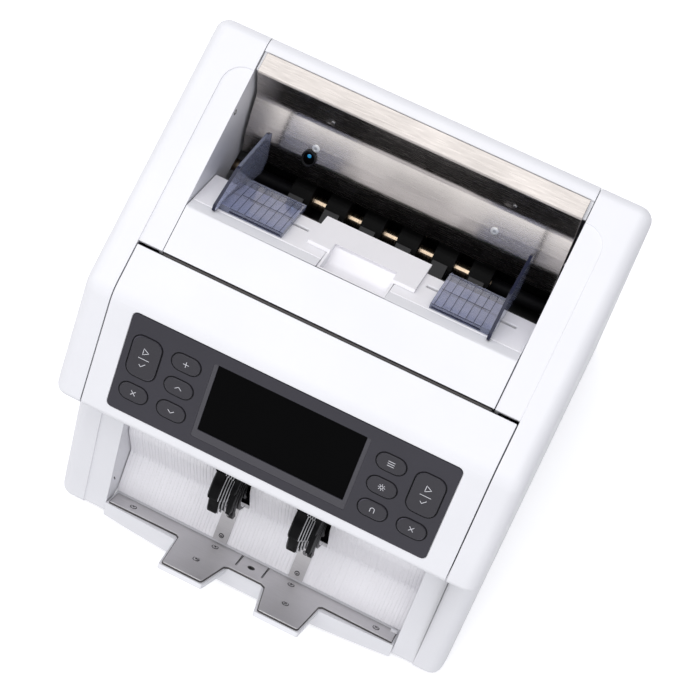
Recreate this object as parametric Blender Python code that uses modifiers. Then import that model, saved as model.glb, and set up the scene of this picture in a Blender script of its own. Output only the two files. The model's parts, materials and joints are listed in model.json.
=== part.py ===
"""Banknote counting machine: friction feed hopper on top, stacker bay in front.

Frame: X runs across the machine (+X to the operator's right), -Y is the
operator's side, +Z is up. The origin is on the table under the middle of the
machine. Sizes below are in millimetres; the helpers turn them into metres.
"""
import math

import bmesh
import bpy
from mathutils import Matrix, Vector

MM = 0.001
GAP = 0.3
# The side view below is drawn from its own zero, this far behind the origin's
CENTRE_SHIFT = 2.1

# Widths, measured from the middle plane
HALF_BODY = 142.4
HALF_PANEL = 123.0
HALF_HOPPER = 107.7
WALL = 2.5
RIM_RADIUS = 9.0
REAR_CORNER = 7.0
BAND_STEP = 0.8
CREASE_X = 123.4

# Side view of the body: (y, z) points and slopes
TOP_FRONT = (-4.4, 215.8)
TOP_SLOPE = math.radians(10.7)
PANEL_START = (-41.2, 205.3)
PANEL_SLOPE = math.radians(47.8)
PANEL_LENGTH = 77.6
BODY_REAR = 140.0
BODY_BOTTOM = 5.0
CHEEK_FOOT_Y = -125.5
CHEEK_LEAN = 0.585
THROAT_Z = 117.0
CREASE_REAR = 115.0
LIP_END_Z = 121.3

# Stacker: the crease and foot of the ribbed plate, and the steel plate's rise
CREASE = (-80.8, 30.6)
PLATE_FOOT = (-106.6, 6.3)
BAY_KNEE = (-77.5, 62.0)
BAY_TOP = (-55.2, 126.0)
TRAY_RISE = math.radians(50.4)
TRAY_BOW = 5.3
IMPELLER_X = 28.5
IMPELLER_WIDTH = 18.0
IMPELLER_RADIUS = 44.0
STACKER_AXIS = (-58.0, 72.0)

# Hopper and feed
HOPPER_EDGE = (26.2, 221.6)
FLOOR_START = (33.4, 216.6)
FLOOR_SLOPE = math.radians(-35.8)
FLOOR_LENGTH = 33.8
HINGE_AXIS = (-4.75, 214.6)
FEED_AXIS = (87.0, 157.0)
FEED_PITCH = 24.5
SHAFT_RADIUS = 4.0
MOTOR_AXIS = (40.0, 50.0)
SENSOR_PLACE = (-62.0, 96.6, 195.4)
SENSOR_TILT = math.radians(55)

# Control panel: key centres as (x, distance down the panel)
SMALL_KEY = (18.5, 11.2, 5.5)
START_KEY = (19.0, 28.2, 6.0)
KEY_COLUMNS = {"inner": 67.0, "outer": 92.5}
KEY_ROWS = {"top": 17.4, "middle": 34.8, "bottom": 52.2, "start": 26.4}
FASCIA_HALF_WIDTH = 106.8
FASCIA_HEIGHT = 68.3


# ---------------------------------------------------------------- scene set-up
def empty_scene():
    for old in list(bpy.data.objects):
        bpy.data.objects.remove(old, do_unlink=True)


def new_collection(name):
    collection = bpy.data.collections.new(name)
    bpy.context.scene.collection.children.link(collection)
    return collection


empty_scene()
PARTS = new_collection("banknote_counter")
CUTTERS = new_collection("cutters")


def new_empty(name, location=(0.0, 0.0, 0.0), rotation=(0.0, 0.0, 0.0)):
    empty = bpy.data.objects.new(name, None)
    empty.location = Vector(location) * MM
    empty.rotation_euler = rotation
    PARTS.objects.link(empty)
    return empty


MACHINE = new_empty("machine")


def make_material(name, colour, roughness, metallic=0.0):
    material = bpy.data.materials.new(name)
    material.use_nodes = True
    shader = material.node_tree.nodes["Principled BSDF"]
    shader.inputs["Base Color"].default_value = (*colour, 1.0)
    shader.inputs["Roughness"].default_value = roughness
    shader.inputs["Metallic"].default_value = metallic
    return material


MATERIALS = {
    "shell": make_material("white_shell", (0.86, 0.86, 0.88), 0.45),
    "inner": make_material("pale_plastic", (0.78, 0.77, 0.80), 0.5),
    "dark": make_material("charcoal_plastic", (0.06, 0.06, 0.07), 0.5),
    "black": make_material("black_plastic", (0.015, 0.015, 0.017), 0.4),
    "rubber": make_material("black_rubber", (0.02, 0.02, 0.02), 0.8),
    "steel": make_material("brushed_steel", (0.55, 0.54, 0.53), 0.3, 1.0),
    "sheet": make_material("zinc_sheet", (0.6, 0.61, 0.63), 0.4, 1.0),
    "brass": make_material("brass_shaft", (0.72, 0.52, 0.33), 0.25, 1.0),
    "smoke": make_material("smoked_clear", (0.20, 0.24, 0.38), 0.1),
    "glass": make_material("display_glass", (0.005, 0.005, 0.006), 0.05),
    "board": make_material("green_board", (0.03, 0.2, 0.08), 0.5),
}


# ------------------------------------------------------------- outline helpers
def arc_points(corner, before, after, radius, steps):
    """Points of the fillet that rounds a corner between two straight runs."""
    point = Vector(corner)
    to_before = (Vector(before) - point).normalized()
    to_after = (Vector(after) - point).normalized()
    half_angle = to_before.angle(to_after) / 2
    reach = radius / math.tan(half_angle)
    centre = point + (to_before + to_after).normalized() * radius / math.sin(half_angle)
    start = point + to_before * reach - centre
    finish = point + to_after * reach - centre
    sweep = start.angle_signed(finish)
    return [tuple(centre + Matrix.Rotation(-sweep * i / steps, 2) @ start)
            for i in range(steps + 1)]


def rounded(corners, steps=5, closed=True):
    """Turn (u, v) or (u, v, radius) corners into an outline with round corners."""
    outline = []
    count = len(corners)
    for i, corner in enumerate(corners):
        radius = corner[2] if len(corner) > 2 else 0.0
        end_of_path = not closed and i in (0, count - 1)
        if radius <= 0 or end_of_path:
            outline.append(tuple(corner[:2]))
            continue
        outline += arc_points(corner[:2], corners[i - 1][:2],
                              corners[(i + 1) % count][:2], radius, steps)
    return outline


def inset(corners, distance):
    """Move every side of a counter-clockwise outline inwards by a distance."""
    moved = []
    count = len(corners)
    for i, corner in enumerate(corners):
        point = Vector(corner[:2])
        towards = (point - Vector(corners[i - 1][:2])).normalized()
        away = (Vector(corners[(i + 1) % count][:2]) - point).normalized()
        left = Vector((-towards.y, towards.x))
        left_next = Vector((-away.y, away.x))
        bisector = (left + left_next).normalized()
        shifted = point + bisector * distance / bisector.dot(left)
        turn = towards.x * away.y - towards.y * away.x
        radius = corner[2] if len(corner) > 2 else 0.0
        if radius > 0:
            radius = max(radius - distance, 0.4) if turn > 0 else radius + distance
        moved.append((shifted.x, shifted.y, radius))
    return moved


def thick_path(path, thickness):
    """Close an open path into an outline with a thickness to its left."""
    other_side = []
    for i, point in enumerate(path):
        here = Vector(point)
        before = (here - Vector(path[i - 1])).normalized() if i else None
        after = (Vector(path[i + 1]) - here).normalized() if i + 1 < len(path) else None
        before = before or after
        after = after or before
        left = Vector((-before.y, before.x))
        left_next = Vector((-after.y, after.x))
        bisector = (left + left_next).normalized()
        shift = here + bisector * thickness / bisector.dot(left)
        other_side.append((shift.x, shift.y))
    return list(path) + other_side[::-1]


def rounded_rectangle(width, height, radius, centre=(0.0, 0.0), steps=4):
    u, v = centre
    half_width, half_height = width / 2, height / 2
    corners = [(u - half_width, v - half_height, radius), (u + half_width, v - half_height, radius),
               (u + half_width, v + half_height, radius), (u - half_width, v + half_height, radius)]
    return rounded(corners, steps)


def circle(radius, centre=(0.0, 0.0), steps=24):
    return [(centre[0] + radius * math.cos(2 * math.pi * i / steps),
             centre[1] + radius * math.sin(2 * math.pi * i / steps)) for i in range(steps)]


# ---------------------------------------------------------------- solid makers
def finish_object(name, mesh, material, cutter=False, smooth_angle=35):
    item = bpy.data.objects.new(name, mesh)
    item.parent = MACHINE
    if cutter:
        CUTTERS.objects.link(item)
        item.hide_render = True
        item.display_type = "WIRE"
        return item
    PARTS.objects.link(item)
    mesh.materials.append(MATERIALS[material])
    mesh.shade_smooth()
    mesh.set_sharp_from_angle(angle=math.radians(smooth_angle))
    return item


def flat_solid(name, outlines, low, high, material=None, cutter=False):
    """Extrude flat outlines (the first one solid, the others holes) along local Z."""
    curve = bpy.data.curves.new(name, "CURVE")
    curve.dimensions = "2D"
    curve.fill_mode = "BOTH"
    curve.extrude = (high - low) / 2 * MM
    for outline in outlines:
        spline = curve.splines.new("POLY")
        spline.points.add(len(outline) - 1)
        for point, (u, v) in zip(spline.points, outline):
            point.co = (u * MM, v * MM, 0.0, 1.0)
        spline.use_cyclic_u = True
    guide = bpy.data.objects.new(name + "_outline", curve)
    bpy.context.scene.collection.objects.link(guide)
    graph = bpy.context.evaluated_depsgraph_get()
    mesh = bpy.data.meshes.new_from_object(guide.evaluated_get(graph))
    bpy.data.objects.remove(guide, do_unlink=True)
    shape = bmesh.new()
    shape.from_mesh(mesh)
    bmesh.ops.remove_doubles(shape, verts=shape.verts, dist=1e-6)
    bmesh.ops.translate(shape, verts=shape.verts, vec=(0.0, 0.0, (low + high) / 2 * MM))
    bmesh.ops.recalc_face_normals(shape, faces=shape.faces)
    shape.to_mesh(mesh)
    shape.free()
    return finish_object(name, mesh, material, cutter)


# Local X, Y, Z of a side-view outline become world Y, Z, X
ACROSS = Matrix(((0, 0, 1, 0), (1, 0, 0, 0), (0, 1, 0, 0), (0, 0, 0, 1)))


def side_solid(name, outlines, x_low, x_high, material=None, cutter=False):
    """Extrude side-view (y, z) outlines across the machine from x_low to x_high."""
    item = flat_solid(name, outlines, x_low, x_high, material, cutter)
    item.matrix_world = ACROSS
    return item


def loft(name, sections, material=None, cutter=False):
    """Skin equal-length rings of (x, y, z) points and close both ends."""
    shape = bmesh.new()
    rings = [[shape.verts.new(Vector(p) * MM) for p in ring] for ring in sections]
    for ring, following in zip(rings, rings[1:]):
        for i, vert in enumerate(ring):
            j = (i + 1) % len(ring)
            shape.faces.new((vert, ring[j], following[j], following[i]))
    shape.faces.new(rings[0][::-1])
    shape.faces.new(rings[-1])
    bmesh.ops.recalc_face_normals(shape, faces=shape.faces)
    mesh = bpy.data.meshes.new(name)
    shape.to_mesh(mesh)
    shape.free()
    return finish_object(name, mesh, material, cutter)


def box(name, low, high, material=None, cutter=False, bevel=0.0):
    shape = bmesh.new()
    bmesh.ops.create_cube(shape, size=1.0)
    size = Vector(high) - Vector(low)
    middle = (Vector(high) + Vector(low)) / 2
    bmesh.ops.scale(shape, verts=shape.verts, vec=size * MM)
    mesh = bpy.data.meshes.new(name)
    shape.to_mesh(mesh)
    shape.free()
    item = finish_object(name, mesh, material, cutter)
    item.location = middle * MM
    if bevel:
        rounding = item.modifiers.new("rounding", "BEVEL")
        rounding.width = bevel * MM
        rounding.segments = 2
    return item


def rod(name, radius, x_low, x_high, axis, material=None, cutter=False, steps=24):
    """A round bar along X, at the (y, z) of its axis."""
    shape = bmesh.new()
    bmesh.ops.create_cone(shape, cap_ends=True, segments=steps, radius1=radius * MM,
                          radius2=radius * MM, depth=(x_high - x_low) * MM)
    mesh = bpy.data.meshes.new(name)
    shape.to_mesh(mesh)
    shape.free()
    item = finish_object(name, mesh, material, cutter)
    item.rotation_euler = (0.0, math.pi / 2, 0.0)
    item.location = Vector(((x_low + x_high) / 2, *axis)) * MM
    return item


def turned(name, profile, material, steps=24):
    """Spin a (radius, height) profile, listed from its top down, about local Z."""
    mesh = bpy.data.meshes.new(name)
    points = [(radius * MM, 0.0, height * MM) for radius, height in profile]
    mesh.from_pydata(points, [(i, i + 1) for i in range(len(points) - 1)], [])
    item = finish_object(name, mesh, material)
    spin = item.modifiers.new("spin", "SCREW")
    spin.steps = steps
    spin.render_steps = steps
    spin.use_merge_vertices = True
    spin.merge_threshold = 1e-5
    return item


def boolean(item, other, operation):
    step = item.modifiers.new(operation.lower(), "BOOLEAN")
    step.operation = operation
    step.solver = "EXACT"
    step.object = other


def cut(item, *cutters):
    for cutter in cutters:
        boolean(item, cutter, "DIFFERENCE")


def join(item, *others):
    for other in others:
        boolean(item, other, "UNION")


def set_origin(item, point):
    """Put an object's origin on a world point without moving its shape."""
    bpy.context.view_layer.update()
    target = Vector(point) * MM
    local = item.matrix_world.inverted() @ target
    item.data.transform(Matrix.Translation(-local))
    item.matrix_world.translation = target


def hang_on(parent, *items):
    for item in items:
        item.parent = parent


# ------------------------------------------------------------- body side view
def top_z(y):
    return TOP_FRONT[1] + (y - TOP_FRONT[0]) * math.tan(TOP_SLOPE)


def panel_point(distance, depth=0.0):
    """(y, z) of a point down the control panel's slope and below its surface."""
    y = PANEL_START[0] - distance * math.cos(PANEL_SLOPE) + depth * math.sin(PANEL_SLOPE)
    z = PANEL_START[1] - distance * math.sin(PANEL_SLOPE) - depth * math.cos(PANEL_SLOPE)
    return y, z


def panel_bend():
    """Where the top plane and the control panel's plane would meet."""
    top_at_start = top_z(PANEL_START[0]) - PANEL_START[1]
    run = top_at_start / (math.tan(PANEL_SLOPE) - math.tan(TOP_SLOPE))
    return PANEL_START[0] + run, top_z(PANEL_START[0] + run)


def cheek_y(z):
    return CHEEK_FOOT_Y + CHEEK_LEAN * (z - BODY_BOTTOM)


def body_corners():
    return [(BODY_REAR, BODY_BOTTOM, 5.0), (BODY_REAR, top_z(BODY_REAR), REAR_CORNER),
            (*panel_bend(), 20.0), (*panel_point(PANEL_LENGTH), 4.0),
            (cheek_y(THROAT_Z), THROAT_Z, 12.0), (CHEEK_FOOT_Y, BODY_BOTTOM, 4.0)]


def rim_sections(side, stations, steps=6):
    """Rings of the body outline at (x, inset) stations, for one side cover."""
    sections = []
    for x, depth in stations:
        ring = rounded(inset(body_corners(), depth), steps)
        sections.append([(side * x, y, z) for y, z in ring])
    return sections


def rim_fillet(x_outer, radius, base_inset, steps=6):
    """Stations that round the outer rim of a side cover."""
    stations = []
    for i in range(steps + 1):
        angle = math.pi / 2 * i / steps
        stations.append((x_outer - radius + radius * math.sin(angle),
                         base_inset + radius * (1 - math.cos(angle))))
    return stations


# ---------------------------------------------------------------- outer covers
def make_side_cover(name, side):
    """Hollow cover with a step, the crease, round the lower band beside the hopper and panel."""
    outer = [(HALF_HOPPER, 0.0), *rim_fillet(HALF_BODY, RIM_RADIUS, 0.0)]
    cover = loft(name, rim_sections(side, outer), "shell")
    low_x, crease_x = side * (HALF_HOPPER - 2), side * CREASE_X
    band = flat_solid(name + "_band_room", [rounded([
        (low_x, -160.0), (crease_x, -160.0), (crease_x, CREASE_REAR, 13.0), (low_x, CREASE_REAR)], 6)],
        -20.0, 300.0, cutter=True)
    core_stations = [(HALF_HOPPER - 5, BAND_STEP), (CREASE_X + 5, BAND_STEP)]
    core = loft(name + "_band_core", rim_sections(side, core_stations), cutter=True)
    cut(band, core)
    inner = [(HALF_HOPPER + WALL, WALL + BAND_STEP), (HALF_PANEL - 0.4, WALL + BAND_STEP),
             (HALF_PANEL + 0.4, WALL)]
    inner += rim_fillet(HALF_BODY - WALL, RIM_RADIUS - WALL, WALL)
    cavity = loft(name + "_cavity", rim_sections(side, inner), cutter=True)
    x_cut = sorted((side * (HALF_HOPPER - 2), side * (HALF_HOPPER + WALL + 1)))
    opening = side_solid(name + "_inner_opening", [[
        (131.0, 8.4), (131.0, 171.0), (-20.0, 171.0), (-47.0, 112.0), (-66.0, 88.0),
        (-70.0, 62.0), (-70.0, 30.0), (-60.0, 8.4)]], *x_cut, cutter=True)
    x_band = sorted((side * (HALF_HOPPER - 2), side * (HALF_PANEL + 0.4)))
    panel_room = side_solid(name + "_panel_room", [[
        (-3.4, 260.0), (-150.0, 260.0), (-150.0, LIP_END_Z - 0.5), (-62.4, LIP_END_Z - 0.5),
        (-62.4, LIP_END_Z + 3.0), (-3.4, 165.0)]],
        *x_band, cutter=True)
    cut(cover, cavity, band, opening, panel_room)
    return cover


def make_rear_cover():
    half = HALF_HOPPER - 0.4
    ledge = 1.9
    shelf = ledge + 2.0
    outline = rounded([
        (BODY_REAR, 9.0), (BODY_REAR, top_z(BODY_REAR), REAR_CORNER), (128.3, top_z(128.3)),
        (128.3, top_z(128.3) - ledge), (117.0, top_z(117.0) - ledge), (117.0, top_z(117.0) - shelf),
        (BODY_REAR - WALL, top_z(BODY_REAR - WALL) - shelf, REAR_CORNER - WALL), (BODY_REAR - WALL, 9.0)])
    cover = side_solid("rear_cover", [outline], -half, half, "shell")
    for i in range(7):
        height = 120.0 + 11.0 * i
        slot = box(f"vent_cutter_{i + 1}", (-62.0, 130.0, height), (62.0, 150.0, height + 4.0), cutter=True)
        cut(cover, slot)
    inlet_hole = box("inlet_cutter", (56.7, 130.0, 26.7), (91.3, 150.0, 52.3), cutter=True)
    switch_hole = box("switch_cutter", (29.7, 130.0, 29.7), (48.3, 150.0, 49.3), cutter=True)
    cut(cover, inlet_hole, switch_hole)
    return cover


def make_panel_housing(panel_plane):
    half = HALF_PANEL - 0.3
    lip = panel_point(PANEL_LENGTH)
    share = (lip[1] - LIP_END_Z) / (lip[1] - THROAT_Z)
    end = (lip[0] + share * (cheek_y(THROAT_Z) - lip[0]), LIP_END_Z)
    path = rounded([(-5.9, top_z(-5.9)), (*panel_bend(), 20.0), (*lip, 4.0), end], closed=False)
    housing = side_solid("control_panel_housing", [thick_path(path, WALL)], -half, half, "shell")
    pocket = flat_solid("fascia_pocket", [rounded_rectangle(
        2 * (FASCIA_HALF_WIDTH + GAP), FASCIA_HEIGHT + 2 * GAP, 3.5, (0.0, -FASCIA_HEIGHT / 2))],
        -1.3, 6.0, cutter=True)
    window = flat_solid("fascia_window", [rounded_rectangle(
        206.0, 60.6, 3.0, (0.0, -FASCIA_HEIGHT / 2))], -8.0, 6.0, cutter=True)
    hang_on(panel_plane, pocket, window)
    cut(housing, pocket, window)
    return housing


def make_bottom_cover():
    half = HALF_HOPPER - 0.5
    outline = rounded([(-half, -98.0, 3.0), (half, -98.0, 3.0), (half, 136.0, 6.0), (-half, 136.0, 6.0)])
    slots = [rounded_rectangle(4.0, 50.0, 1.9, (-30.0 + 12.0 * i, 60.0), 3) for i in range(6)]
    return flat_solid("bottom_cover", [outline] + slots, 4.2, 6.4, "dark")


def make_feet():
    for name, x, y in (("foot_front_left", -92.0, -84.0), ("foot_front_right", 92.0, -84.0),
                       ("foot_rear_left", -92.0, 116.0), ("foot_rear_right", 92.0, 116.0)):
        foot = turned(name, [(0.0, 3.9), (9.0, 3.9), (9.0, 2.6), (7.6, 0.0), (0.0, 0.0)], "rubber", 20)
        foot.location = (x * MM, y * MM, 0.0)


# --------------------------------------------------------------- control panel
def key_layout():
    inner, outer = KEY_COLUMNS["inner"], KEY_COLUMNS["outer"]
    rows = KEY_ROWS
    return (("key_start_left", -outer, rows["start"], START_KEY),
            ("key_clear_left", -outer, rows["bottom"], SMALL_KEY),
            ("key_add", -inner, rows["top"], SMALL_KEY), ("key_up", -inner, rows["middle"], SMALL_KEY),
            ("key_down", -inner, rows["bottom"], SMALL_KEY), ("key_batch", inner, rows["top"], SMALL_KEY),
            ("key_uv", inner, rows["middle"], SMALL_KEY), ("key_mg", inner, rows["bottom"], SMALL_KEY),
            ("key_start_right", outer, rows["start"], START_KEY),
            ("key_clear_right", outer, rows["bottom"], SMALL_KEY))


def make_fascia(panel_plane):
    centre = (0.0, -FASCIA_HEIGHT / 2)
    fascia = flat_solid("control_fascia", [rounded_rectangle(
        2 * FASCIA_HALF_WIDTH, FASCIA_HEIGHT, 3.2, centre)], -1.0, 0.25, "dark")
    back = flat_solid("fascia_back", [rounded_rectangle(205.2, 59.8, 2.6, centre)], -3.6, -0.6, cutter=True)
    recess = flat_solid("fascia_recess", [rounded_rectangle(
        102.4, 53.6, 1.5, (0.0, -35.0))], -0.55, 3.0, cutter=True)
    opening = flat_solid("display_opening", [rounded_rectangle(
        96.8, 48.0, 0.8, (0.0, -32.1))], -6.0, 3.0, cutter=True)
    hang_on(panel_plane, fascia, back, recess, opening)
    join(fascia, back)
    cut(fascia, recess, opening)
    for name, x, row, (width, height, radius) in key_layout():
        hole = flat_solid(name + "_hole", [rounded_rectangle(
            width + 2 * GAP, height + 2 * GAP, radius + GAP, (x, -row))], -6.0, 3.0, cutter=True)
        hang_on(panel_plane, hole)
        cut(fascia, hole)


def make_key(name, x, row, size, panel_plane):
    """A key cap with a retaining flange under the fascia."""
    width, height, radius = size
    levels = ((-4.9, 0.9), (-3.9, 0.9), (-3.9, 0.0), (0.55, 0.0), (0.85, -0.4))
    sections = []
    for z, grow in levels:
        ring = rounded_rectangle(width + 2 * grow, height + 2 * grow, radius + grow, steps=4)
        sections.append([(u, v, z) for u, v in ring])
    key = loft(name, sections, "dark")
    key.location = Vector((x, -row, 0.0)) * MM
    hang_on(panel_plane, key)


def make_display(panel_plane):
    glass = flat_solid("display_window", [rounded_rectangle(96.0, 47.2, 0.6, (0.0, -32.1))],
                       -1.9, -0.75, "glass")
    module = flat_solid("display_module", [rounded_rectangle(
        104.0, 54.0, 1.0, (0.0, -33.0))], -7.6, -3.9, "black")
    board = flat_solid("control_board", [rounded_rectangle(
        198.0, 58.0, 2.0, (0.0, -FASCIA_HEIGHT / 2))], -10.4, -8.8, "board")
    hang_on(panel_plane, glass, module, board)


# ---------------------------------------------------------------- stacker bay
def make_bay_plate():
    """Bent plate behind the stack, slotted for the impellers."""
    foot = (PLATE_FOOT[0] + 1.1, PLATE_FOOT[1] + 1.0)
    path = rounded([BAY_TOP, (*BAY_KNEE, 20.0), (*CREASE, 6.0), foot], closed=False)
    half = HALF_HOPPER - 0.6
    plate = side_solid("stacker_back_plate", [thick_path(path, 2.0)], -half, half, "inner")
    slot_half = IMPELLER_WIDTH / 2 + 2.5
    for side, label in ((-1, "left"), (1, "right")):
        middle = side * IMPELLER_X
        slot = box(f"impeller_slot_{label}", (middle - slot_half, -95.0, 29.5),
                   (middle + slot_half, -40.0, 130.0), cutter=True)
        cut(plate, slot)


def tray_point(distance, depth=0.0):
    """(y, z) up the rising steel plate's slope and below its surface."""
    y = PLATE_FOOT[0] - distance * math.cos(TRAY_RISE) - depth * math.sin(TRAY_RISE)
    z = PLATE_FOOT[1] + distance * math.sin(TRAY_RISE) - depth * math.cos(TRAY_RISE)
    return y, z


def tongue_corners(grow=0.0, foot=8.0):
    """Right-hand tongue in the steel plate's plane: (x, distance up the slope)."""
    return [(15.0 - grow, foot), (52.4 + grow, foot), (52.0 + grow, 17.0), (49.0 + grow, 54.6 + grow, 1.5),
            (20.6 - grow, 54.6 + grow, 1.5), (15.0 - grow, 25.0)]


def mirrored(outline):
    return [(-u, v) for u, v in outline][::-1]


def make_tray(tray_plane):
    sections = []
    half = HALF_HOPPER - 0.5
    steps = 12
    for i in range(steps + 1):
        x = -half + 2 * half * i / steps
        bow = TRAY_BOW * (1 - (x / half) ** 2)
        crest = tray_point(17.0 + 0.8 * bow, 1.5)
        sections.append([(x, -104.6, 4.6), (x, *tray_point(0.6, 1.5)), (x, *crest),
                         (x, -124.6 - bow, 7.4), (x, -123.4 - bow, 4.6)])
    tray = loft("stacker_tray", sections, "shell")
    for side, label in ((1, "right"), (-1, "left")):
        outline = rounded(tongue_corners(1.8, 6.0), 4)
        outline = outline if side > 0 else mirrored(outline)
        tongue = flat_solid(f"tray_tongue_{label}", [outline], -5.0, -1.5, cutter=True)
        hang_on(tray_plane, tongue)
        join(tray, tongue)
    return tray


def make_steel_plate(tray_plane):
    right = [(105.2, 0.6), (105.2, 15.6), (54.6, 15.0, 1.5), (52.2, 17.4, 1.0), (49.0, 54.6, 1.5),
             (20.6, 54.6, 1.5), (15.2, 25.2, 2.5), (12.0, 23.0)]
    left = [(-corner[0], *corner[1:]) for corner in right[::-1]]
    plate = flat_solid("stacker_steel_plate", [rounded(right + left, 4), circle(2.6, (0.0, 11.2), 16)],
                       -1.2, 0.0, "steel")
    hang_on(tray_plane, plate)
    for side, label in ((-1, "left"), (1, "right")):
        slit = box(f"steel_slit_{label}", (side * 9.7 - 0.55, -5.0, -4.0), (side * 9.7 + 0.55, 16.6, 4.0),
                   cutter=True)
        hang_on(tray_plane, slit)
        cut(plate, slit)


def make_guide_strips():
    run = Vector(PLATE_FOOT) - Vector(CREASE)
    direction = run.normalized()
    outward = Vector((direction.y, -direction.x))
    start = Vector(CREASE) + direction * 2.5 + outward * GAP
    finish = Vector(CREASE) + direction * (run.length - 1.5) + outward * GAP
    outline = thick_path([tuple(finish), tuple(start)], 0.8)
    for side, label in ((-1, "left"), (1, "right")):
        x_range = sorted((side * 23.3, side * 33.7))
        side_solid(f"{label}_guide_strip", [outline], *x_range, "steel")


def impeller_outline():
    """Curved vanes swept back from the hub, all in one outline."""
    vanes = 12
    hub = 13.0
    sweep = math.radians(95)
    thickness = 1.7
    steps = 5
    points = []
    for k in range(vanes):
        base = 2 * math.pi * k / vanes
        front, back = [], []
        for i in range(steps + 1):
            share = i / steps
            radius = hub + (IMPELLER_RADIUS - hub) * share
            angle = base + sweep * share ** 1.2
            turn = thickness / radius
            front.append((radius * math.cos(angle), radius * math.sin(angle)))
            back.append((radius * math.cos(angle + turn), radius * math.sin(angle + turn)))
        points += front + back[::-1]
    return points


def make_stacker_drive():
    rod("stacker_shaft", SHAFT_RADIUS, -129.5, 118.0, STACKER_AXIS, "sheet")
    for side, label in ((-1, "left"), (1, "right")):
        middle = side * IMPELLER_X
        wheel = side_solid(f"{label}_impeller", [impeller_outline(), circle(SHAFT_RADIUS + GAP, steps=20)],
                           -IMPELLER_WIDTH / 2, IMPELLER_WIDTH / 2, "black")
        wheel.matrix_world = Matrix.Translation(Vector((middle, *STACKER_AXIS)) * MM) @ ACROSS
    pulley = side_solid("stacker_pulley", [circle(18.0, steps=32), circle(SHAFT_RADIUS + GAP, steps=20)],
                        -3.0, 3.0, "black")
    pulley.matrix_world = Matrix.Translation(Vector((-125.5, *STACKER_AXIS)) * MM) @ ACROSS


# ----------------------------------------------------------------- feed hopper
def floor_point(distance, height=0.0):
    """(y, z) down the hopper floor's slope and above its surface."""
    y = FLOOR_START[0] + distance * math.cos(FLOOR_SLOPE) - height * math.sin(FLOOR_SLOPE)
    z = FLOOR_START[1] + distance * math.sin(FLOOR_SLOPE) + height * math.cos(FLOOR_SLOPE)
    return y, z


SCOOP_HALF = 22.0
SCOOP_OUTLINE = [(26.6, 219.8), (26.6, 208.5, 3.0), (37.0, 202.2, 6.0), (50.6, 203.6), (48.0, 207.5)]


def make_hopper_cover():
    half = HALF_HOPPER - 0.6
    path = rounded([FLOOR_START, (*HOPPER_EDGE, 2.5), (-3.6, top_z(-3.6))], 4, closed=False)
    cover = side_solid("upper_front_cover", [thick_path(path, 2.2)], -half, half, "shell")
    floor_path = [floor_point(0.35), floor_point(FLOOR_LENGTH)]
    floor = side_solid("hopper_floor", [thick_path(floor_path[::-1], 2.0)], -half, half, "inner")
    room = side_solid("scoop_room", [[(26.25, 240.0), (26.25, 190.0), (51.0, 190.0), (51.0, 240.0)]],
                      -SCOOP_HALF - GAP, SCOOP_HALF + GAP, cutter=True)
    cut(cover, room)
    cut(floor, room)
    slot_centre = 21.6
    slot = thick_path([floor_point(slot_centre - 1.2, -6.0), floor_point(slot_centre + 1.2, -6.0)], 12.0)
    for side, label in ((-1, "left"), (1, "right")):
        x_range = sorted((side * 39.0, side * 97.0))
        cutter = side_solid(f"guide_slot_{label}", [slot], *x_range, cutter=True)
        cut(floor, cutter)
    for item in (cover, floor):
        set_origin(item, (0.0, *HINGE_AXIS))


def make_centre_plate():
    """Raised middle of the hopper floor with its finger scoop."""
    deck = [floor_point(8.6, GAP), floor_point(40.6, GAP), floor_point(40.6, 2.4), floor_point(9.4, 2.4)]
    plate = side_solid("hopper_centre_plate", [deck], -35.0, 35.0, "inner")
    bowl = side_solid("scoop_bowl", [rounded(SCOOP_OUTLINE, 4)], -SCOOP_HALF, SCOOP_HALF, cutter=True)
    inner = rounded([(28.2, 240.0), (28.2, 209.4, 2.0), (37.4, 203.9, 5.0), (48.6, 205.4, 1.0),
                     (52.0, 240.0)], 4)
    scoop = side_solid("scoop_hollow", [inner], -SCOOP_HALF + 1.6, SCOOP_HALF - 1.6, cutter=True)
    join(plate, bowl)
    cut(plate, scoop)
    set_origin(plate, (0.0, *HINGE_AXIS))


def make_note_guide(label, blade_x, platform_x, lean):
    """Side guide: an upright blade with a platform that rides on the floor."""
    side = 1 if blade_x > 0 else -1
    deck = [floor_point(1.4, 0.5), floor_point(39.8, 0.5), floor_point(39.8, 3.4), floor_point(20.0, 4.4),
            floor_point(1.4, 4.4)]
    x_range = sorted((blade_x + side * 1.0, platform_x))
    guide = side_solid(f"{label}_note_guide", [deck], *x_range, "smoke")
    blade = rounded([(30.6, 219.4, 1.0), (60.6, 197.7), (78.5, 187.0, 2.0), (84.5, 194.0, 2.0),
                     (91.5, 219.0, 2.0), (88.5, 223.0, 2.0), (57.0, 231.0, 8.0), (33.0, 224.0, 2.0)], 4)
    sections = []
    for offset in (0.0, side * 2.0):
        sections.append([(blade_x + offset - side * lean * (y - 30.0) / 60.0, y, z) for y, z in blade])
    upright = loft(f"{label}_guide_blade", sections, cutter=True)
    stem_x = platform_x + side * 26.0
    stem = side_solid(f"{label}_guide_stem", [thick_path(
        [floor_point(21.0, -5.0), floor_point(22.2, -5.0)], 6.5)], stem_x - 4.0, stem_x + 4.0, cutter=True)
    join(guide, upright, stem)
    set_origin(guide, (blade_x, *floor_point(21.6)))


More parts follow.
